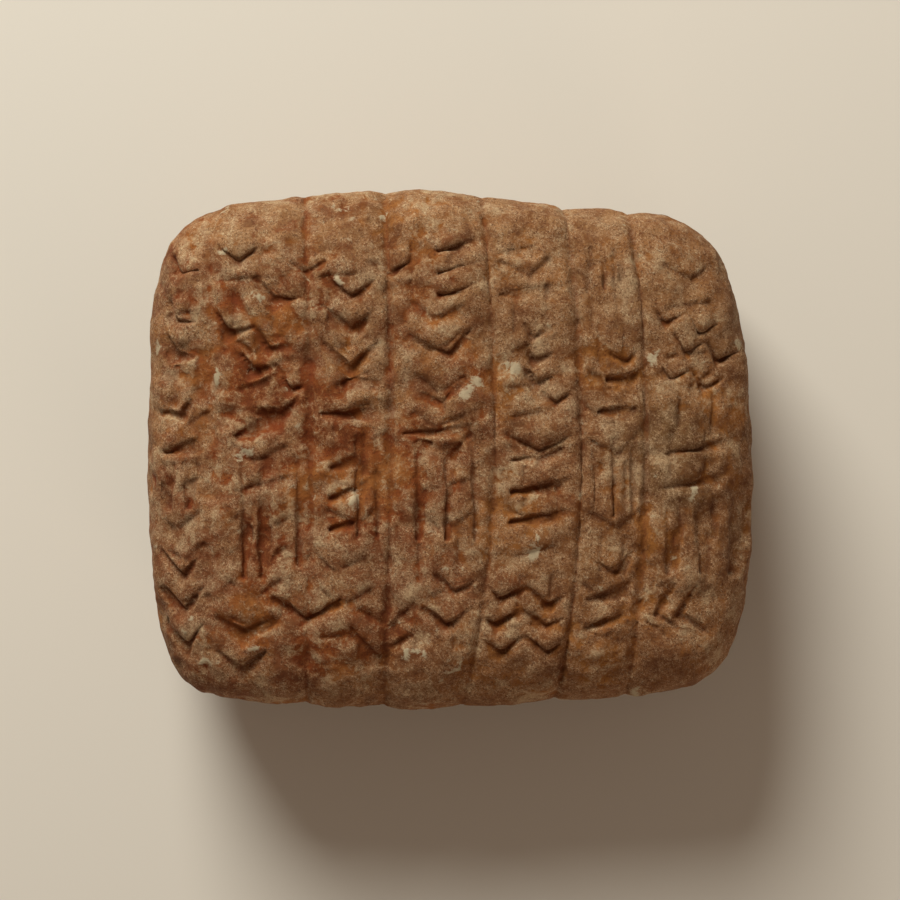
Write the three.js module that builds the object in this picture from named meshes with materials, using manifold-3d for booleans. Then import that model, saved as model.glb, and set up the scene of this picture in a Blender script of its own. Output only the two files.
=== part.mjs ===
// A small fired-clay tablet: a hand-shaped pillow of clay, ruled into seven cases and printed with a reed
// stylus. Millimetres. X runs across the cases, Y along them, Z up. The tablet lies on a flat spot of its
// back, and the origin is on that flat spot, under the middle of the tablet's length and width.
import * as THREE from "three";
import { mergeVertices } from "three/addons/utils/BufferGeometryUtils.js";
import Module from "manifold-3d";

const wasm = await Module();
wasm.setup();

// Driving dimensions.
const LENGTH = 42;
const WIDTH = 35.8;
const THICKNESS = 16;

const HALF_LENGTH = LENGTH / 2;
const HALF_WIDTH = WIDTH / 2;
const WIDEST_LEVEL = THICKNESS * 0.48; // height of the widest line of the edge
const FACE_RISE = THICKNESS - WIDEST_LEVEL; // from the widest line up to the middle of the face
const FLAT_DEPTH = 0.2; // how much of the back's swell the flat spot takes off
const BACK_DROP = WIDEST_LEVEL + FLAT_DEPTH;
const FACE_LEAN = 0.012; // the face is a little higher at the left than at the right

// How the clay swells from its edge to its middle. A high flatness keeps the slope near the edge. A high
// fullness stands the edge upright, where 2 is a round edge.
const FACE_SWELL = { flatness: 4.6, fullness: 4.4 };
const BACK_SWELL = { flatness: 3.8, fullness: 3 };

// ---- The pillow of clay ----

// Hand-shaped outline seen from above, as shares of half the length and half the width, anticlockwise.
const OUTLINE = [
  [1, -0.22], [0.975, 0.33], [0.926, 0.669], [0.85, 0.833], [0.73, 0.905], [0.37, 0.95], [-0.08, 1],
  [-0.62, 0.964], [-0.79, 0.927], [-0.905, 0.828], [-0.97, 0.64], [-1, 0.05], [-0.977, -0.594],
  [-0.94, -0.79], [-0.85, -0.925], [-0.65, -0.98], [0, -1], [0.62, -0.953], [0.84, -0.895],
  [0.94, -0.765], [0.99, -0.51],
];
const OUTLINE_STEPS = 720;

const outline = new THREE.CatmullRomCurve3(
  OUTLINE.map(([u, v]) => new THREE.Vector3(u * HALF_LENGTH, v * HALF_WIDTH, 0)),
  true,
)
  .getSpacedPoints(OUTLINE_STEPS)
  .slice(0, -1)
  .map((p) => ({ angle: Math.atan2(p.y, p.x), radius: Math.hypot(p.x, p.y) }))
  .sort((a, b) => a.angle - b.angle);

// The outline's distance from the middle in a direction.
function outlineRadius(angle) {
  const after = outline.findIndex((p) => p.angle > angle);
  const high = outline[after < 0 ? 0 : after];
  const low = outline.at(after < 0 ? -1 : after - 1);
  const turn = 2 * Math.PI;
  const gap = (high.angle - low.angle + turn) % turn;
  const share = ((angle - low.angle + turn) % turn) / gap;
  return low.radius + share * (high.radius - low.radius);
}

// How far out a place is: 0 at the middle, 1 on the outline.
function reach(x, y) {
  return Math.hypot(x, y) / outlineRadius(Math.atan2(y, x));
}

// How far the clay swells from the widest line at a reach: 0 at the edge, 1 in the middle.
function swell(r, { flatness, fullness }) {
  return Math.max(0, 1 - r ** flatness) ** (1 / fullness);
}

// Heights of the face and of the back over a place, from its reach. The face leans a little along X.
function faceHeight(r, x) {
  return WIDEST_LEVEL + FACE_RISE * swell(r, FACE_SWELL) * (1 - FACE_LEAN * x / HALF_LENGTH);
}

function backHeight(r) {
  return Math.max(0, WIDEST_LEVEL - BACK_DROP * swell(r, BACK_SWELL));
}

function onFace(x, y) {
  return new THREE.Vector3(x, y, faceHeight(reach(x, y), x));
}

function onBack(x, y) {
  return new THREE.Vector3(x, y, backHeight(reach(x, y)));
}

// Outward direction of the clay at a point of its surface: the slope of the function that is constant on it.
function outward(point, back = false) {
  const step = 0.05;
  const [rise, { flatness, fullness }] = back ? [BACK_DROP, BACK_SWELL] : [FACE_RISE, FACE_SWELL];
  const level = (dx, dy) => reach(point.x + dx, point.y + dy) ** flatness;
  const height = (point.z - WIDEST_LEVEL) / rise;
  return new THREE.Vector3(
    (level(step, 0) - level(-step, 0)) / (2 * step),
    (level(0, step) - level(0, -step)) / (2 * step),
    (Math.sign(height) * fullness * Math.abs(height) ** (fullness - 1)) / rise,
  ).normalize();
}

// One closed skin over a row of rings, each with the same number of points, with a flat fan across each end.
function loft(rings) {
  const count = rings[0].length;
  const last = (rings.length - 1) * count;
  const faces = [];
  for (let j = 0; j < count; j++) {
    const k = (j + 1) % count;
    if (j > 0 && k > 0) {
      faces.push(0, k, j, last, last + j, last + k);
    }
    for (let i = 0; i < last; i += count) {
      faces.push(i + j, i + k, i + count + k, i + j, i + count + k, i + count + j);
    }
  }
  return new THREE.BufferGeometry().setFromPoints(rings.flat()).setIndex(faces);
}

// A closed solid from a closed skin. Doubled points are joined and collapsed triangles are dropped.
function solid(geometry) {
  const skin = new THREE.BufferGeometry()
    .setAttribute("position", geometry.getAttribute("position"))
    .setIndex(geometry.getIndex());
  const joined = mergeVertices(skin);
  const corners = joined.getIndex().array;
  const triangles = [];
  for (let i = 0; i < corners.length; i += 3) {
    const [a, b, c] = corners.slice(i, i + 3);
    if (a !== b && b !== c && c !== a) {
      triangles.push(a, b, c);
    }
  }
  return new wasm.Manifold(new wasm.Mesh({
    numProp: 3,
    vertProperties: joined.getAttribute("position").array,
    triVerts: new Uint32Array(triangles),
  }));
}

// The pillow is a box whose points are moved out: square rings of the top and bottom turn into rings of the
// outline, and the rows of the sides go round the edge.
const BOX_CELLS = [18, 16, 8];
const FACE_RIM = 0.88; // the reach of the box's top rim
const BACK_RIM = 0.86; // and of its bottom rim

function pillow() {
  const geometry = new THREE.BoxGeometry(2, 2, 2, ...BOX_CELLS);
  const position = geometry.getAttribute("position");
  const turn = (rim, flatness) => Math.asin(Math.sqrt(1 - rim ** flatness));
  for (let i = 0; i < position.count; i++) {
    const [a, b, c] = [position.getX(i), position.getY(i), position.getZ(i)];
    const square = Math.max(Math.abs(a), Math.abs(b));
    const angle = Math.atan2(b * HALF_WIDTH, a * HALF_LENGTH);
    const upper = c >= 0;
    const [rim, { flatness }] = upper ? [FACE_RIM, FACE_SWELL] : [BACK_RIM, BACK_SWELL];
    const side = Math.cos(turn(rim, flatness) * Math.abs(c)) ** (2 / flatness);
    const r = square < 1 ? square * rim : side;
    const radius = r * outlineRadius(angle);
    const x = radius * Math.cos(angle);
    position.setXYZ(i, x, radius * Math.sin(angle), upper ? faceHeight(r, x) : backHeight(r));
  }
  return solid(geometry);
}

// ---- Rulings ----

// Where each ruled line crosses the middle of the face, how far its upper and lower ends lie to the left of
// there, and how much of the full depth it has. The first is nearly worn away.
const RULINGS = [
  { x: -16.3, top: 0.1, bottom: 0.2, depth: 0.35 },
  { x: -9.4, top: 0.6, bottom: 0.5, depth: 0.8 },
  { x: -3.95, top: 0.5, bottom: 0.6, depth: 0.9 },
  { x: 3.1, top: 0.9, bottom: 2.3, depth: 0.8 },
  { x: 9.0, top: 1.25, bottom: 1.8, depth: 1 },
  { x: 13.45, top: 1.3, bottom: 1.5, depth: 1 },
];
const GROOVE_SHOULDER = 2; // half the width of the hollow that a pressed line leaves in the clay beside it
const GROOVE_MOUTH = 0.5; // half the width of the cut itself
const SHOULDER_DEPTH = 0.22;
const GROOVE_DEPTH = 0.6;
const GROOVE_WRAP = 1.16; // how far round the edge a ruling goes, where 1 is the widest line
const GROOVE_FADE = 0.5; // over how much of its way a ruling runs out to nothing at each end
const GROOVE_STEPS = 18;
const GROOVE_CLEAR = 0.3; // how far a ruling's cutter stands out of the clay

function rulingX(ruling, y) {
  const bow = y > 0 ? ruling.top : ruling.bottom;
  return ruling.x - bow * (y / HALF_WIDTH) ** 2;
}

// A ruled line's point at a share of the way from the middle of the face to the edge, and on under it past 1.
function rulingPoint(ruling, share) {
  const side = Math.sign(share) || 1;
  let edge = HALF_WIDTH;
  for (let i = 0; i < 12; i++) {
    edge /= reach(rulingX(ruling, side * edge), side * edge);
  }
  const y = side * edge * Math.sin(Math.min(Math.abs(share), 2 - Math.abs(share)) * Math.PI / 2);
  const x = rulingX(ruling, y);
  return Math.abs(share) > 1 ? onBack(x, y) : onFace(x, y);
}

function groove(ruling) {
  const rings = [];
  for (let i = 0; i <= GROOVE_STEPS; i++) {
    const share = GROOVE_WRAP * ((2 * i) / GROOVE_STEPS - 1);
    const at = rulingPoint(ruling, share);
    const ahead = rulingPoint(ruling, share + 0.01).sub(rulingPoint(ruling, share - 0.01)).normalize();
    const up = outward(at, Math.abs(share) > 1);
    const right = new THREE.Vector3().crossVectors(ahead, up).normalize();
    const fade = ruling.depth * Math.min(1, (GROOVE_WRAP - Math.abs(share)) / GROOVE_FADE);
    const lip = GROOVE_MOUTH + (GROOVE_SHOULDER - GROOVE_MOUTH) * (1 + GROOVE_CLEAR / SHOULDER_DEPTH);
    const section = [
      [lip, GROOVE_CLEAR],
      [GROOVE_MOUTH * 0.7, -SHOULDER_DEPTH * fade],
      [0, -GROOVE_DEPTH * fade],
      [-GROOVE_MOUTH, -SHOULDER_DEPTH * fade],
      [-lip, GROOVE_CLEAR],
    ];
    rings.push(section.map(([s, t]) => at.clone().addScaledVector(right, s).addScaledVector(up, t)));
  }
  return solid(loft(rings));
}

// ---- Stylus prints ----

// A point in a case: across from -1 at its left ruling to 1 at its right one, and y along it.
const CASE_EDGES = [{ x: -20.6, top: -2, bottom: -1.6 }, ...RULINGS, { x: 20.9, top: 2.6, bottom: 1.2 }];

function inCase(index, across, y) {
  const left = rulingX(CASE_EDGES[index], y);
  const right = rulingX(CASE_EDGES[index + 1], y);
  return { x: (left + right) / 2 + (across * (right - left)) / 2, y };
}

// Each mark of the reed's corner is a steep wall with a gentle ramp up from its foot. A place in a mark is
// given as [ahead, left], in millimetres from the mark's own place along its heading, in degrees from +X.
const PRINT_CLEAR = 1.8; // how far a print's cutter stands out of the clay
const SHALLOW = 0.06; // depth of the upright step where a ramp ends

// A corner of a cutter: the point at a depth under one place, and the point above the clay on the line from
// there to a place on the rim.
function cutterCorner({ x, y, heading, back = false }, [ahead, left], rim, depth) {
  const turn = THREE.MathUtils.degToRad(heading);
  const [cos, sin] = [Math.cos(turn), Math.sin(turn)];
  const surface = back ? onBack : onFace;
  const at = ([u, v]) => surface(x + cos * u - sin * v, y + sin * u + cos * v);
  const under = at([ahead, left]);
  const deep = under.addScaledVector(outward(under, back), -depth);
  const high = at(rim).sub(deep).multiplyScalar(1 + PRINT_CLEAR / depth).add(deep);
  return [deep, high];
}

// A wedge is a long mark with its wall along its right side. It has its depth at its own place, and the share
// tail of that at its far end.
function wedge({ length, width, depth, tail, ...place }) {
  const right = -width * 0.45;
  const corners = [
    cutterCorner(place, [0, width * 0.55], [0, width * 0.55], SHALLOW),
    cutterCorner(place, [width * 0.18, right * 0.72], [-width * 0.1, right], depth),
    cutterCorner(place, [length - width * 0.15, right * 0.3], [length, right * 0.6], depth * tail),
    cutterCorner(place, [length, width * 0.2], [length, width * 0.2], SHALLOW),
  ];
  const rings = [corners.map(([deep]) => deep), corners.map(([, high]) => high)];
  return solid(loft(place.back ? rings.reverse() : rings));
}

// A wave is a crease that zigzags: a row of V notches, side by side, with the wall on the inside of each V.
// Each is widest and deepest at its tip, and half of that where it meets the next.
function wave({ count, width, drop, ramp, depth, ...place }) {
  const rings = Array.from({ length: 2 * count + 1 }, (_, i) => {
    const left = ((i - count) * width) / 2;
    const [foot, size] = i % 2 ? [width * drop, 1] : [0, 0.5];
    const deepest = depth * size;
    const [wallDeep, wallHigh] = cutterCorner(place, [foot, left], [foot - deepest * 0.3, left], deepest);
    const end = [foot + width * ramp * size, left];
    const [rampDeep, rampHigh] = cutterCorner(place, end, end, SHALLOW);
    return [wallDeep, wallHigh, rampHigh, rampDeep];
  });
  return solid(loft(rings));
}

// Kinds of print groups. Each gives the cutters of a group, from a place in a case.
const KINDS = {
  // Wedges that run down the case, side by side, deepest at their lower ends.
  long: ({ index, from, to, count, span = [-0.6, 0.6], width = 1.4, depth = 0.55, stagger = 0 }) =>
    Array.from({ length: count }, (_, i) => {
      const across = span[0] + ((span[1] - span[0]) * (i + 0.5)) / count;
      const length = to - from + stagger * i;
      return wedge({ ...inCase(index, across, to), heading: 269, length, width, depth: depth / 2, tail: 2 });
    }),
  // Wedges that run across the case, one above the other, deepest at the left.
  bar: ({ index, from, count = 1, pitch = -2.2, across = -0.75, heading = 10, ...size }) =>
    Array.from({ length: count }, (_, i) => {
      const shape = { length: 3.8, width: 1.2, depth: 0.25, tail: 2, ...size };
      const start = inCase(index, across, from + i * pitch);
      const turn = THREE.MathUtils.degToRad(heading);
      const x = start.x + shape.length * Math.cos(turn);
      return wedge({ x, y: start.y + shape.length * Math.sin(turn), heading: heading + 180, ...shape });
    }),
  // Waves, one above the other, in rows that step sideways by half a notch.
  vee: ({ index, from, rows = 1, pitch = -1.9, across = 0, turn = 0, ...size }) =>
    Array.from({ length: rows }, (_, i) => {
      const shape = { count: 1, width: 3.4, drop: 0.36, ramp: 0.32, depth: 0.65, ...size };
      const place = inCase(index, across, from + i * pitch);
      const step = shape.count > 1 ? (shape.width * (i % 2)) / 2 : 0;
      return wave({ x: place.x + step, y: place.y, heading: 270 + turn, ...shape });
    }),
};

// The rows of prints on the face, case by case from the left, each from the upper end down. They are no signs
// of any script.
const FACE_PRINTS = [
  [
    { kind: "vee", from: 12.9, turn: -30, width: 2.4 },
    { kind: "vee", from: 9.6, rows: 2, pitch: -2.4, turn: -40, width: 2.6 },
    { kind: "vee", from: 3.2, across: -0.2, turn: 24, width: 2.6 },
    { kind: "bar", from: -0.4, across: -0.6, length: 3, heading: 16 },
    { kind: "long", from: -4.2, to: -0.8, count: 2, span: [-0.75, 0.7] },
    { kind: "vee", from: -6.7, rows: 3, pitch: -2.4, width: 3.1, drop: 0.6 },
  ],
  [
    { kind: "vee", from: 14, across: -0.4, width: 3 },
    { kind: "vee", from: 11.2, across: 0.45, turn: -24, width: 3.6, drop: 0.3 },
    { kind: "vee", from: 8.4, rows: 2, count: 2, pitch: -2.7, across: -0.1, turn: -24, width: 2.9 },
    { kind: "vee", from: 3.4, across: 0.3, turn: 16, depth: 0.5 },
    { kind: "bar", from: 0.6, across: -0.55, length: 3.4, heading: 26, width: 1.6 },
    { kind: "long", from: -9, to: -0.6, count: 2, span: [-0.42, 0.28], width: 1.6, depth: 0.6 },
    { kind: "long", from: -8.2, to: -0.2, count: 1, span: [0.7, 1], width: 1.6, depth: 0.6 },
    { kind: "vee", from: -11.2, across: -0.3, width: 4.4, drop: 0.24 },
    { kind: "vee", from: -13.5, across: -0.35, width: 3.6, drop: 0.4 },
    { kind: "vee", from: -9.8, across: 0.95, width: 5, drop: 0.32, depth: 0.85 },
  ],
  [
    { kind: "vee", from: 13, across: -1, width: 2.8, drop: 0.32 },
    { kind: "vee", from: 13, across: 1, width: 3.2, drop: 0.3 },
    { kind: "vee", from: 11.9, across: 0.1, width: 3.8 },
    { kind: "vee", from: 10, across: 0.05, width: 4.2, drop: 0.4 },
    { kind: "vee", from: 7.8, across: 0, width: 4.4, drop: 0.52 },
    { kind: "bar", from: 4.5, across: -0.3, length: 3.4, heading: -2 },
    { kind: "bar", from: 2.3, across: -0.85, length: 5, heading: 2 },
    { kind: "long", from: -6.2, to: 1, count: 2, span: [0, 1] },
    { kind: "bar", from: -1.4, count: 3, pitch: -2.1, across: -0.6, length: 2.6, heading: 20 },
    { kind: "vee", from: -10.3, across: 0.95, turn: 8, width: 4.2, drop: 0.4 },
    { kind: "vee", from: -12, across: 0.85, turn: -10, width: 4.6, drop: 0.42 },
  ],
  [
    { kind: "vee", from: 13.1, across: -0.9, width: 3 },
    { kind: "bar", from: 13.3, count: 3, pitch: -1.5, across: -0.1, length: 3.2, heading: 14 },
    { kind: "vee", from: 8.2, across: 0.05, turn: 10, width: 4.2, depth: 0.5 },
    { kind: "vee", from: 4.6, across: -0.1, turn: 14, width: 3.6, depth: 0.4 },
    { kind: "bar", from: 1, across: -0.85, length: 5, heading: 4 },
    { kind: "long", from: -6.4, to: 0.5, count: 3, span: [-0.7, 0.95] },
    { kind: "vee", from: -8.9, count: 3, across: 1.32, turn: -8, width: 3.2, depth: 0.7 },
    { kind: "vee", from: -10.7, count: 3, across: 1.27, turn: -2, depth: 0.7 },
    { kind: "vee", from: -12.5, count: 2, across: 1.98, width: 3.2 },
  ],
  [
    { kind: "bar", from: 13.2, across: -0.9, length: 3, heading: 8, depth: 0.17 },
    { kind: "bar", from: 10.4, across: -0.9, length: 4.6, heading: 6, depth: 0.17 },
    { kind: "vee", from: 8.6, rows: 3, pitch: -1.6, across: 0.05, turn: -18, width: 2.2, drop: 0.45 },
    { kind: "vee", from: 4.4, across: 0.4, width: 3.2 },
    { kind: "vee", from: 1.2, across: 0, width: 4.8, drop: 0.24 },
    { kind: "bar", from: -0.9, count: 3, pitch: -2.1, across: -0.7, length: 4.4, depth: 0.3 },
  ],
  [
    { kind: "long", from: 10.4, to: 12.9, count: 3, span: [-0.75, 0.75], width: 0.9, stagger: -0.3 },
    { kind: "vee", from: 7, across: 0.35, turn: 14, width: 2.6 },
    { kind: "bar", from: 4.6, across: -0.3, length: 2.8, heading: 4 },
    { kind: "bar", from: 2.4, across: -0.65, length: 3.4, heading: 2 },
    { kind: "long", from: -4.4, to: 0.9, count: 3, span: [-0.9, 0.9], width: 1, stagger: 0.4 },
    { kind: "vee", from: -6.8, across: 0, turn: 10, width: 3.6, drop: 0.4 },
    { kind: "bar", from: -10.3, count: 2, pitch: -2, across: -0.7, length: 3.6, heading: 15, depth: 0.3 },
  ],
  [
    { kind: "vee", from: 9.4, rows: 3, count: 2, across: -0.15, turn: -14, width: 2.4, drop: 0.45 },
    { kind: "bar", from: -0.4, count: 2, pitch: -2.3, across: -0.75, length: 4.6, width: 1, depth: 0.15 },
    { kind: "long", from: -8.8, to: -3.4, count: 3, span: [-0.82, 1.02], width: 1.9, depth: 0.45 },
    { kind: "vee", from: -10.8, across: -0.6, turn: -76, width: 3.8, drop: 0.46, ramp: 0.2 },
    { kind: "vee", from: -10.8, across: -0.19, turn: -76, width: 3.8, drop: 0.46, ramp: 0.2 },
    { kind: "vee", from: -10.8, across: 0.22, turn: -76, width: 3.8, drop: 0.46, ramp: 0.2 },
  ],
];

// The back has two short rows near its right end and is plain elsewhere.
const BACK_ROWS = [
  { x: 8.6, heading: 270, ys: [9.5, 5.9, 2.3, -1.3, -4.9] },
  { x: 13.2, heading: 250, ys: [7.6, 4, 0.4, -3.2] },
];

function facePrints() {
  return FACE_PRINTS.flatMap((groups, index) =>
    groups.flatMap((group) => KINDS[group.kind]({ index, ...group })));
}

function backPrints() {
  return BACK_ROWS.flatMap(({ x, heading, ys }) =>
    ys.map((y) => wedge({ x, y, heading, length: 2.7, width: 1.5, depth: 0.55, tail: 0.4, back: true })));
}

// ---- The tablet ----

function tablet() {
  const cuts = [...RULINGS.map(groove), ...facePrints(), ...backPrints()];
  const carved = cuts.reduce((clay, cut) => clay.subtract(cut), pillow());
  const { vertProperties, triVerts } = carved.getMesh();
  const geometry = new THREE.BufferGeometry()
    .setAttribute("position", new THREE.BufferAttribute(vertProperties, 3))
    .setIndex(new THREE.BufferAttribute(triVerts, 1));
  geometry.computeVertexNormals();
  const firedClay = new THREE.MeshStandardMaterial({ color: 0x9a6a45, roughness: 0.92, metalness: 0 });
  const mesh = new THREE.Mesh(geometry, firedClay);
  mesh.name = "tablet";
  return mesh;
}

const model = new THREE.Group();
model.add(tablet());

export default model;
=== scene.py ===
import math

import bmesh
import bpy
import numpy as np
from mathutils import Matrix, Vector, noise


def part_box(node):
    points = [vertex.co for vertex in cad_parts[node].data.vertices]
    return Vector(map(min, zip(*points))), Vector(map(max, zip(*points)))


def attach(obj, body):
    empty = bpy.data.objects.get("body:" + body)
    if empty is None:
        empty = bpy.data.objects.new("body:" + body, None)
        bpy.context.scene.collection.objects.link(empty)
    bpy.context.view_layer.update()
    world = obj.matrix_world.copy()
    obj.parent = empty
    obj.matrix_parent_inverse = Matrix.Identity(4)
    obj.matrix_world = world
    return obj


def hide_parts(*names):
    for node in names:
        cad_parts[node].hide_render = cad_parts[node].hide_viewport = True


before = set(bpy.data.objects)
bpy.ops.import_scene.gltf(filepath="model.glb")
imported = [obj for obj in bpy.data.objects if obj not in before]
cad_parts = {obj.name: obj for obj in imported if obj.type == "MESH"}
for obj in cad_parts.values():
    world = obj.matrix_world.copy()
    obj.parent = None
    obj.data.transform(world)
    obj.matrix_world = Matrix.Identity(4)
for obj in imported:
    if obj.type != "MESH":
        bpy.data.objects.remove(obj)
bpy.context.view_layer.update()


# ---- The view ----
# A copy stand: the camera looks straight down through a long lens, square to the tablet's face. The view's
# width is one and a half times the tablet's length.
low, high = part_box("tablet")
LENGTH = high.x - low.x
THICKNESS = high.z - low.z
VIEW_WIDTH = LENGTH * 1.508
WIDEST_HEIGHT = 0.48 * THICKNESS  # where the outline is widest
WIDEST = Vector(((low.x + high.x) / 2, (low.y + high.y) / 2, low.z + WIDEST_HEIGHT))

camera = bpy.data.objects.new("copy_stand_camera", bpy.data.cameras.new("copy_stand_camera"))
camera.data.lens = 120
camera.data.clip_start = 0.01
camera.location = WIDEST + Vector((0, 0, VIEW_WIDTH * camera.data.lens / camera.data.sensor_width))
bpy.context.scene.collection.objects.link(camera)
bpy.context.scene.camera = camera


# ---- The table and the light ----
# A pale table top of matt laminate, which is dull and even. A broad soft lamp stands low at the upper left,
# and rakes over the face so that the prints show. A weak lamp at the lower right and a dim even light fill
# the shadows.
MM = 0.001


def linear(colour):
    """An sRGB hex colour as linear red, green, blue and alpha."""
    shares = [int(colour[i : i + 2], 16) / 255 for i in (1, 3, 5)]
    return [s / 12.92 if s <= 0.04045 else ((s + 0.055) / 1.055) ** 2.4 for s in shares] + [1.0]


def node(tree, kind, settings=None, inputs=None):
    """Adds a node. Inputs go by their sockets' identifiers, and each is a plain value or a socket to link."""
    made = tree.nodes.new(kind)
    for name, value in (settings or {}).items():
        setattr(made, name, value)
    sockets = {socket.identifier: socket for socket in made.inputs}
    for name, value in (inputs or {}).items():
        if isinstance(value, bpy.types.NodeSocket):
            tree.links.new(value, sockets[name])
        else:
            sockets[name].default_value = value
    return made


def new_material(name):
    """A material with only a surface shader and its output."""
    material = bpy.data.materials.new(name)
    material.use_nodes = True
    tree = material.node_tree
    tree.nodes.clear()
    shader = node(tree, "ShaderNodeBsdfPrincipled")
    node(tree, "ShaderNodeOutputMaterial", inputs={"Surface": shader.outputs["BSDF"]})
    return material, tree, shader


TABLE_SIZE = 4.0
TABLE_DROP = 0.02 * MM  # keeps the table top clear of the tablet's flat spot
half, top = TABLE_SIZE / 2, low.z - TABLE_DROP
table_mesh = bpy.data.meshes.new("table_top")
corners = [(-half, -half, top), (half, -half, top), (half, half, top), (-half, half, top)]
table_mesh.from_pydata(corners, [], [(0, 1, 2, 3)])
table = bpy.data.objects.new("table_top", table_mesh)
bpy.context.scene.collection.objects.link(table)
matt_laminate, _, laminate = new_material("matt_laminate")
laminate.inputs["Base Color"].default_value = linear("#d6d3cd")
laminate.inputs["Roughness"].default_value = 0.7
table_mesh.materials.append(matt_laminate)

LAMP_DISTANCE = 0.4

# Each lamp: its azimuth and height in degrees, its width in metres, its watts and its colour.
LAMPS = {"soft_lamp": (112, 34, 0.22, 2.2, "#fffaec"), "fill_lamp": (-60, 16, 0.18, 0.3, "#ffe2c6")}
for name, (azimuth, height, width, watts, tint) in LAMPS.items():
    lamp = bpy.data.objects.new(name, bpy.data.lights.new(name, "AREA"))
    lamp.data.shape = "DISK"
    lamp.data.size = width
    lamp.data.energy = watts
    lamp.data.color = linear(tint)[:3]
    bearing, rise = math.radians(azimuth), math.radians(height)
    lamp.location = LAMP_DISTANCE * Vector((
        math.cos(bearing) * math.cos(rise), math.sin(bearing) * math.cos(rise), math.sin(rise),
    ))
    lamp.rotation_euler = (-lamp.location).to_track_quat("-Z", "Y").to_euler()
    lamp.visible_camera = False  # so that no view shows the lamp itself
    bpy.context.scene.collection.objects.link(lamp)

world = bpy.data.worlds.new("even_light")
world.use_nodes = True
background = world.node_tree.nodes["Background"]
background.inputs["Color"].default_value = linear("#ffe2c6")
background.inputs["Strength"].default_value = 0.185
bpy.context.scene.world = world
bpy.context.scene.view_settings.view_transform = "Standard"


# ---- The clay body ----
# River clay with some sand, patted into a pillow in the hand, ruled, printed with a reed and fired. Age has
# rounded every edge, worn the upper left into lumps and pits, and left a thin gritty crust on what stands
# proud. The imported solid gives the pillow, the rulings and the deep prints.
VOXEL = 0.14  # mm
MOST_TRIANGLES = 190_000
tablet = bpy.data.objects.new("tablet_clay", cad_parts["tablet"].data.copy())
tablet.data.materials.clear()
bpy.context.scene.collection.objects.link(tablet)


def read(values, field):
    """One field of a mesh's vertices, as an array of rows of three."""
    flat = np.empty(len(values) * 3, np.float32)
    values.foreach_get(field, flat)
    return flat.reshape(-1, 3).astype(float)


def move_to(mesh, places):
    mesh.vertices.foreach_set("co", places.astype(np.float32).ravel())
    mesh.update()


def with_modifier(kind, **settings):
    """The tablet's mesh after one modifier, as a new mesh."""
    modifier = tablet.modifiers.new("work", kind)
    for name, value in settings.items():
        setattr(modifier, name, value)
    made = bpy.data.meshes.new_from_object(tablet.evaluated_get(bpy.context.evaluated_depsgraph_get()))
    tablet.modifiers.remove(modifier)
    return made


def worn_smooth(passes):
    return read(with_modifier("SMOOTH", factor=0.5, iterations=passes).vertices, "co")


def smoothstep(start, end, value):
    share = np.clip((value - start) / (end - start), 0, 1)
    return share * share * (3 - 2 * share)


# Millimetres from here until the mesh is finished.
move_to(tablet.data, read(tablet.data.vertices, "co") / MM)
tablet.data = with_modifier("REMESH", mode="VOXEL", voxel_size=VOXEL)

# The voxels leave a few specks that the skin doesn't touch. Only what joins its outermost vertex is kept.
voxels = bmesh.new()
voxels.from_mesh(tablet.data)
skin, reached = set(), [max(voxels.verts, key=lambda vertex: vertex.co.x)]
while reached:
    vertex = reached.pop()
    if vertex not in skin:
        skin.add(vertex)
        reached.extend(edge.other_vert(vertex) for edge in vertex.link_edges)
bmesh.ops.delete(voxels, geom=[vertex for vertex in voxels.verts if vertex not in skin], context="VERTS")
voxels.to_mesh(tablet.data)
voxels.free()


def along(direction, steps):
    """How far each step goes along its direction."""
    return np.einsum("ij,ij->i", steps, direction)


# Between the deep prints lie shallow, half worn ones. Each case of the ruling is given as its middle and its
# width, and each of its rows has a V of two strokes, a bar or two uprights. They are no signs of any script,
# and the seed settles their kinds and places.
CASES = [(-18.4, 3.6), (-12.9, 6), (-6.8, 4.6), (-0.6, 6), (5.8, 5), (11, 3.8), (16.6, 5.4)]
ROWS = 11
ROW_PITCH = 2.4
FAINT_DEPTH = 0.21
V_LEG = (2.6, 1.3)  # length and width
UPRIGHT = (4.2, 1.2)
BAR_WIDTH = 1.5
noise.seed_set(12)
carved = read(tablet.data.vertices, "co")
outward = read(tablet.data.vertex_normals, "vector")
dip = along(outward, worn_smooth(90) - carved)


def stroke(at_x, at_y, heading, length, width):
    """1 along the steep left side of a stroke, sloping off to 0 at its right side and run out at its ends."""
    cos, sin = math.cos(math.radians(heading)), math.sin(math.radians(heading))
    off_x, off_y = carved[:, 0] - at_x, carved[:, 1] - at_y
    ahead = (off_x * cos + off_y * sin) / length
    right = (off_x * sin - off_y * cos) / width
    slope = smoothstep(-0.14, 0, right) * np.clip(1 - right, 0, 1)
    return slope * (1 - smoothstep(0.34, 0.5, np.abs(ahead)))


def faint_strokes(case, row):
    """The strokes of one row of a case, each as its middle, heading, length and width."""
    middle, width = CASES[case]
    sway, tilt, kind = noise.noise_vector((3.7 * case, 2.9 * row, 1.3))
    above = ROWS // 2 - row
    at_x = middle + 0.8 * sway - (0.15 * above) ** 2  # the cases bow a little to the left at their ends
    at_y = ROW_PITCH * above + 0.9 * tilt
    if kind > 0.12:
        return [(at_x + side * 0.9, at_y, side * 34 + 20 * tilt, *V_LEG) for side in (-1, 1)]
    if kind > -0.15:
        return [(at_x, at_y, 12 + 26 * sway, 0.75 * width, BAR_WIDTH)]
    return [(at_x + side * 0.22 * width, at_y, 90 + 8 * tilt, *UPRIGHT) for side in (-1, 1)]


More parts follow.
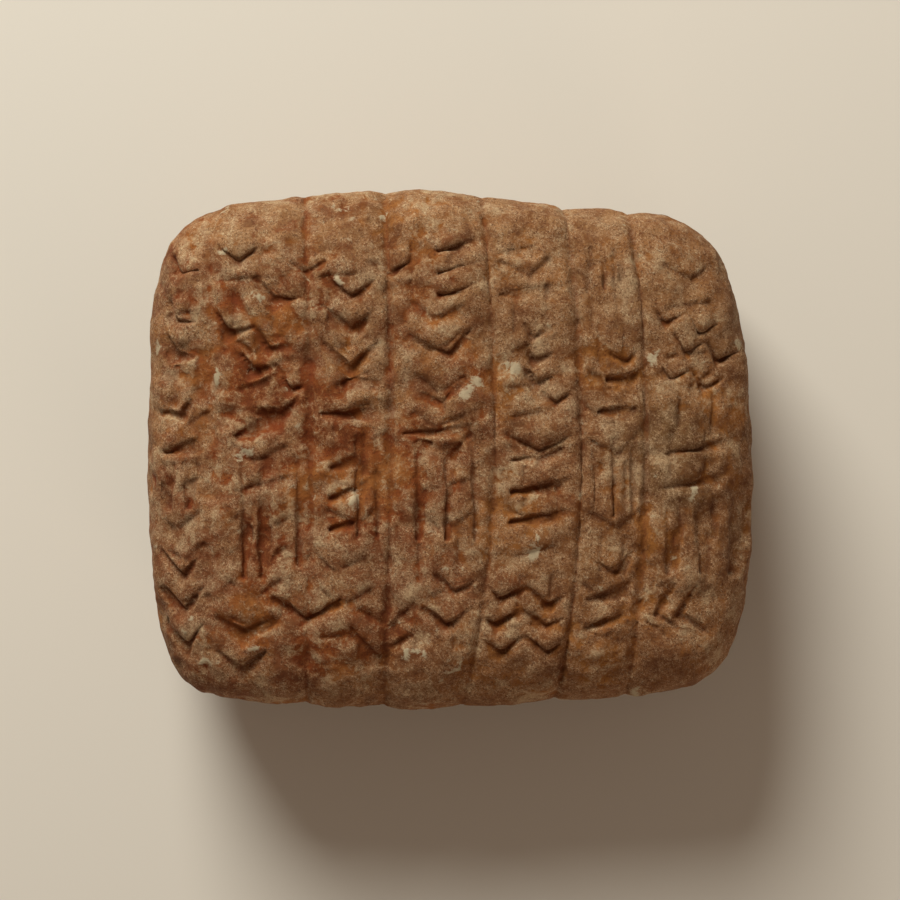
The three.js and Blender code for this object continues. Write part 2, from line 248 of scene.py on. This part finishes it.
# They fade out round the edges of the face and in the deep prints.
pressed = np.zeros(len(carved))
for case in range(len(CASES)):
    for row in range(ROWS):
        for faint in faint_strokes(case, row):
            pressed = np.maximum(pressed, stroke(*faint))
pressed *= FAINT_DEPTH * smoothstep(0.5, 0.9, outward[:, 2]) * (1 - smoothstep(0.02, 0.12, dip))
move_to(tablet.data, carved - outward * pressed[:, None])

# Wear rounds the brow of a print and leaves its bottom sharp. It is worked out from four copies of the
# surface: the crisp one has only lost the voxels' steps, and the broad one has nearly lost the prints.
crisp, soft, softer, broad = worn_smooth(3), worn_smooth(24), worn_smooth(90), worn_smooth(260)
outward = read(tablet.data.vertex_normals, "vector")


def wear(smooth, brows, bottoms):
    """Steps towards a smoother surface: one share of the way on brows, another in the bottoms of prints.

    A share below 0 goes the other way.
    """
    steps = smooth - crisp
    return steps * np.where(along(outward, steps) < 0, brows, bottoms)[:, None]


HOLLOWS_DEEPER = 0.2
places = crisp + wear(soft, 0.4, -0.08) + wear(softer, 0.3, 0)
crease = along(outward, soft - places)  # how far a place lies under the clay close to it
hollow = along(outward, broad - places)  # and under the clay further round it
places = places - outward * HOLLOWS_DEEPER * np.maximum(hollow, -0.1)[:, None]
move_to(tablet.data, places)
outward = read(with_modifier("SMOOTH", factor=0.5, iterations=24).vertex_normals, "vector")


SEED_STEP = 31.7  # how far apart in the noise two seeds are read
FINER = 2.1  # from one octave to the next


def mottle(size, octaves, seed):
    """Uneven values, mostly from -1 to 1, whose patches are about size across."""
    spots = (places / size + SEED_STEP * seed).tolist()
    return np.array([noise.fractal(spot, 1.0, FINER, octaves) for spot in spots])


x, y, z = places.T
upward = smoothstep(-0.2, 0.5, outward[:, 2])
lumps = mottle(3.2, 3, 1)
blotches = mottle(4.5, 4, 2)
grit = mottle(0.7, 3, 5)


def patch(at_x, at_y, radius_x, radius_y, turn=0):
    """1 at a place on the face, falling off to 0 over a turned ellipse round it."""
    cos, sin = math.cos(math.radians(turn)), math.sin(math.radians(turn))
    u, v = (x - at_x) * cos + (y - at_y) * sin, (y - at_y) * cos - (x - at_x) * sin
    return np.exp(-((u / radius_x) ** 2 + (v / radius_y) ** 2)) * upward


# The upper left is eroded to lumps with sharp valleys between them. Two patches further in are eroded less.
eroded = patch(-14, 8, 6.5, 7.5) + 0.7 * patch(-9, -1, 4.5, 6) + 0.5 * patch(-0.5, 4, 5, 4)
eroded = smoothstep(0.2, 1.1, eroded + 0.45 * blotches)
worn_lumps = np.minimum(1, 2.2 * np.abs(mottle(3.4, 2, 6)))
hollow += 0.35 * eroded * (1 - worn_lumps)

# The clay is bare in hollows and in these places: how bare, then the middle and the two radii. Most of them
# are at the left and in the middle. The crust lies on the rest.
BARE_SPOTS = [
    (1, -12, -2, 4.5, 6), (1, -1.2, -2, 3.2, 4.5), (1, -5.5, -3.5, 2.5, 4), (0.6, -13, 8, 5, 6),
    (0.6, -1, 13, 4, 3), (0.6, -10, -12, 6, 3), (0.5, -0.5, 5, 3, 4), (0.5, -8, -7, 5, 5),
]
bare = sum(share * patch(*spot) for share, *spot in BARE_SPOTS)
crust = 0.9 * blotches + 0.7 * mottle(0.9, 4, 3) - 2.2 * hollow - 0.4 * bare + 0.4
crust = smoothstep(-0.6, 0.5, crust)

# Whitish lime from the ground: each spot is a place, its half length and half width, and its turn.
LIME_SPOTS = [
    (-15.3, 16.5, 0.7, 0.5, 30), (-15.5, 13.5, 0.8, 0.5, 0), (-13, 10.5, 0.8, 0.9, 0),
    (-19.8, 7, 0.5, 1, 0), (-7, 16, 1.2, 0.7, -35), (-4.5, 15.8, 0.6, 0.6, 0),
    (-7.6, 11.6, 0.8, 0.6, -40), (-14.2, -0.4, 1.3, 0.6, 25), (1.4, 4.2, 1.6, 0.7, 50),
    (-15.9, 5, 0.4, 1.1, 0), (-16.3, -14.4, 1.4, 0.6, -20), (-17.9, -12, 0.5, 1, -35),
    (-13.6, -13.5, 1.4, 0.4, 10), (-10.3, -7.1, 0.6, 0.25, 30), (5.7, -6.7, 1.3, 1.2, 0),
    (9.9, -9.2, 0.5, 1, 60), (13.8, 6.3, 1, 0.5, 30), (19.4, 7.3, 0.7, 0.8, 0),
    (12.9, -16.5, 1.2, 0.7, 10), (-2.5, -13.8, 1.5, 0.7, 15), (0.3, -14.8, 0.9, 1.2, -40),
    (-6.5, -3.5, 0.5, 1.5, 0), (4.2, 5.6, 0.9, 1.1, 0), (16.5, -3, 0.6, 0.9, 0),
]
lime = sum(patch(*spot) for spot in LIME_SPOTS)
lime = smoothstep(0.5, 1.15, lime + 0.5 * mottle(0.7, 4, 8))

# Iron in the clay has turned red where the fire had air, most at the left and in the middle. Elsewhere it is
# ochre, and grey at the right. The crust is paler towards the upper edge.
rust = 0.9 * mottle(6, 4, 9) + 0.5 * mottle(1.6, 3, 10) - x / 20 - (y / 14) ** 2 * 0.4 + 0.7 * bare
rust = smoothstep(-0.8, 0.9, rust + 1.2 * patch(-8, -6, 8, 8))
grey = smoothstep(0.2, 1.2, patch(16, 0, 6, 7) + 0.6 * blotches)
# The crust grows paler towards the upper edge and a little towards the left.
paler_upward = smoothstep(-14, 20, y - 0.25 * x + 5 * blotches)

# How far each place moves outwards: broad waves, lumps, ripples, the crust's grit, the crust and the lime on
# the clay, and last the erosion, which cuts valleys between its lumps.
relief = (
    0.18 * mottle(8, 2, 4)
    + 0.36 * lumps * (0.15 + 0.85 * upward)
    + 0.05 * mottle(1.5, 3, 11) * (0.4 + 0.6 * upward)
    + 0.03 * grit * (0.3 + 0.7 * crust)
    + 0.06 * crust
    + 0.05 * lime
    + eroded * (0.2 * worn_lumps - 0.28 + 0.05 * mottle(0.7, 3, 7))
)
relief *= smoothstep(-0.2, 1.2, z)  # the flat spot stays on the table
places = places + outward * relief[:, None]
places[:, 2] = np.maximum(places[:, 2], 0)
move_to(tablet.data, places)

# What the clay's material reads at each vertex. Hollow and crease also set where shade and highlight are
# painted.
VERTEX_MASKS = {
    "hollow": hollow, "crease": crease, "crust": crust, "lime": lime,
    "rust": rust, "grey": grey, "paler_upward": paler_upward,
}
for name, values in VERTEX_MASKS.items():
    tablet.data.attributes.new(name, "FLOAT", "POINT").data.foreach_set("value", values.astype(np.float32))

tablet.data.calc_loop_triangles()
tablet.data = with_modifier("DECIMATE", ratio=MOST_TRIANGLES / len(tablet.data.loop_triangles))
move_to(tablet.data, read(tablet.data.vertices, "co") * MM)
tablet.data.shade_smooth()

# Fired clay is dull and open-grained. Bare, it is orange to red-brown. The crust on it is a tan film of fine
# sand and lime with dark pores, so it looks speckled, and lime shows as whitish smears.
fired_clay, tree, clay = new_material("fired_clay")
clay.inputs["Roughness"].default_value = 0.88
clay.inputs["Specular IOR Level"].default_value = 0.25

clay_point = node(tree, "ShaderNodeTexCoord").outputs["Object"]
masks = {
    name: node(tree, "ShaderNodeAttribute", {"attribute_name": name}).outputs["Fac"]
    for name in VERTEX_MASKS
}

# Patterns: the size of a patch or grain in millimetres, octaves, roughness, and how far it is curled. The
# specks and the pores are as large as the grains of fine sand in the clay.
PATTERNS = {
    "clouds": (5, 5, 0.6, 0), "bloom": (2.6, 5, 0.7, 0.3), "smears": (1.4, 5, 0.7, 0.6),
    "clumps": (0.7, 4, 0.75, 0.5), "specks": (0.13, 2, 0.75, 1.2), "pores": (0.14, 2, 0.75, 0.8),
}
for name, (size, octaves, roughness, curl) in PATTERNS.items():
    masks[name] = node(tree, "ShaderNodeTexNoise", {"label": name}, {
        "Vector": clay_point, "Scale": 1 / (size * MM),
        "Detail": octaves, "Roughness": roughness, "Distortion": curl,
    }).outputs["Fac"]

# Films whose edges are ragged: the film, the pattern that frays it, and how much.
FRAYED = {"crusted": ("crust", "clumps", 3.2), "limed": ("lime", "clumps", 3.6)}
for name, (film, pattern, fray) in FRAYED.items():
    masks[name] = node(tree, "ShaderNodeMath", {"operation": "MULTIPLY_ADD"}, {
        "Value": masks[pattern], "Value_001": fray, "Value_002": masks[film],
    }).outputs["Value"]
CRUSTED = {"crusted": (1.75, 2.5)}  # where the frayed crust starts and where it is whole

# The layers, from the clay up: a colour, how much of it shows at most, and the masks that let it through,
# each with the values where it starts and where it is whole.
LAYERS = [
    # The bare clay: red where it fired so, with ochre and dark clouds, pale grit and dark pores.
    ("#6e2e0c", 0.85, {"rust": (0, 1)}),
    ("#8c5a28", 0.6, {"clouds": (0.47, 0.62)}),
    ("#562c10", 0.6, {"clouds": (0.5, 0.38)}),
    ("#a27040", 0.65, {"clumps": (0.4, 0.6), "specks": (0.48, 0.58)}),
    ("#4a1e08", 0.65, {"pores": (0.47, 0.38)}),
    # The crust: tan, redder on red clay, greyer at the right, paler towards the upper edge, and blooming.
    ("#805636", 0.8, CRUSTED),
    ("#7a4628", 0.8, CRUSTED | {"rust": (0.3, 1), "smears": (0.57, 0.45)}),
    ("#5e4a2e", 0.65, CRUSTED | {"grey": (0, 1)}),
    ("#96704a", 0.7, CRUSTED | {"paler_upward": (0, 1), "smears": (0.42, 0.58)}),
    ("#9e8264", 0.7, CRUSTED | {"bloom": (0.49, 0.6)}),
    # Ochre stains and dark ones, on clay and crust alike.
    ("#8a5628", 0.5, {"clouds": (0.53, 0.62), "smears": (0.44, 0.56)}),
    ("#4c260e", 0.5, {"bloom": (0.47, 0.36)}),
    # The crust's grains: pale, paler in its blooms, and dark pores.
    ("#a88868", 0.8, CRUSTED | {"clumps": (0.42, 0.58), "specks": (0.47, 0.56)}),
    ("#c6b08e", 0.7, CRUSTED | {"bloom": (0.44, 0.58), "specks": (0.54, 0.63)}),
    ("#552e16", 0.8, CRUSTED | {"pores": (0.47, 0.38)}),
    # Pale dust, painted shade and dirt in hollows and creases, painted highlight and wear on brows, and lime.
    ("#b29a78", 0.5, {"bloom": (0.55, 0.66), "clumps": (0.42, 0.56)}),
    # Painted shade with some dirt: darker the deeper a place lies below the clay round it.
    ("#6c2c08", 0.5, {"hollow": (0.08, 0.4)}),
    # Painted highlight with some wear: paler on the brows that stand above the clay close to them.
    ("#b0844c", 0.4, {"crease": (-0.03, -0.12)}),
    # Painted shade with some dirt: dark along the creases, so that they read as shadow lines.
    ("#4a1c06", 0.6, {"crease": (0.015, 0.1)}),
    ("#b2a68c", 0.8, {"limed": (2.25, 2.7)}),
]
colour = linear("#7c4e22")
for tint, most, through in LAYERS:
    amount = most
    for mask, (start, whole) in through.items():
        let_by = node(tree, "ShaderNodeMapRange", {"clamp": True}, {
            "Value": masks[mask], "From Min": start, "From Max": whole,
        }).outputs["Result"]
        amount = node(tree, "ShaderNodeMath", {"operation": "MULTIPLY"}, {
            "Value": let_by, "Value_001": amount,
        }).outputs["Value"]
    colour = node(tree, "ShaderNodeMix", {"data_type": "RGBA"}, {
        "Factor_Float": amount, "A_Color": colour, "B_Color": linear(tint),
    }).outputs[2]  # the one for colours
tree.links.new(colour, clay.inputs["Base Color"])

# Grain that is finer than the mesh: the crust's specks, on the clay's own unevenness.
grain = node(tree, "ShaderNodeMath", {"operation": "MULTIPLY_ADD"}, {
    "Value": masks["crust"], "Value_001": masks["specks"], "Value_002": masks["clumps"],
}).outputs["Value"]
bump = node(tree, "ShaderNodeBump", inputs={"Height": grain, "Distance": 0.13 * MM, "Strength": 0.8})
tree.links.new(bump.outputs["Normal"], clay.inputs["Normal"])
tablet.data.materials.append(fired_clay)

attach(tablet, "root")
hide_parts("tablet")
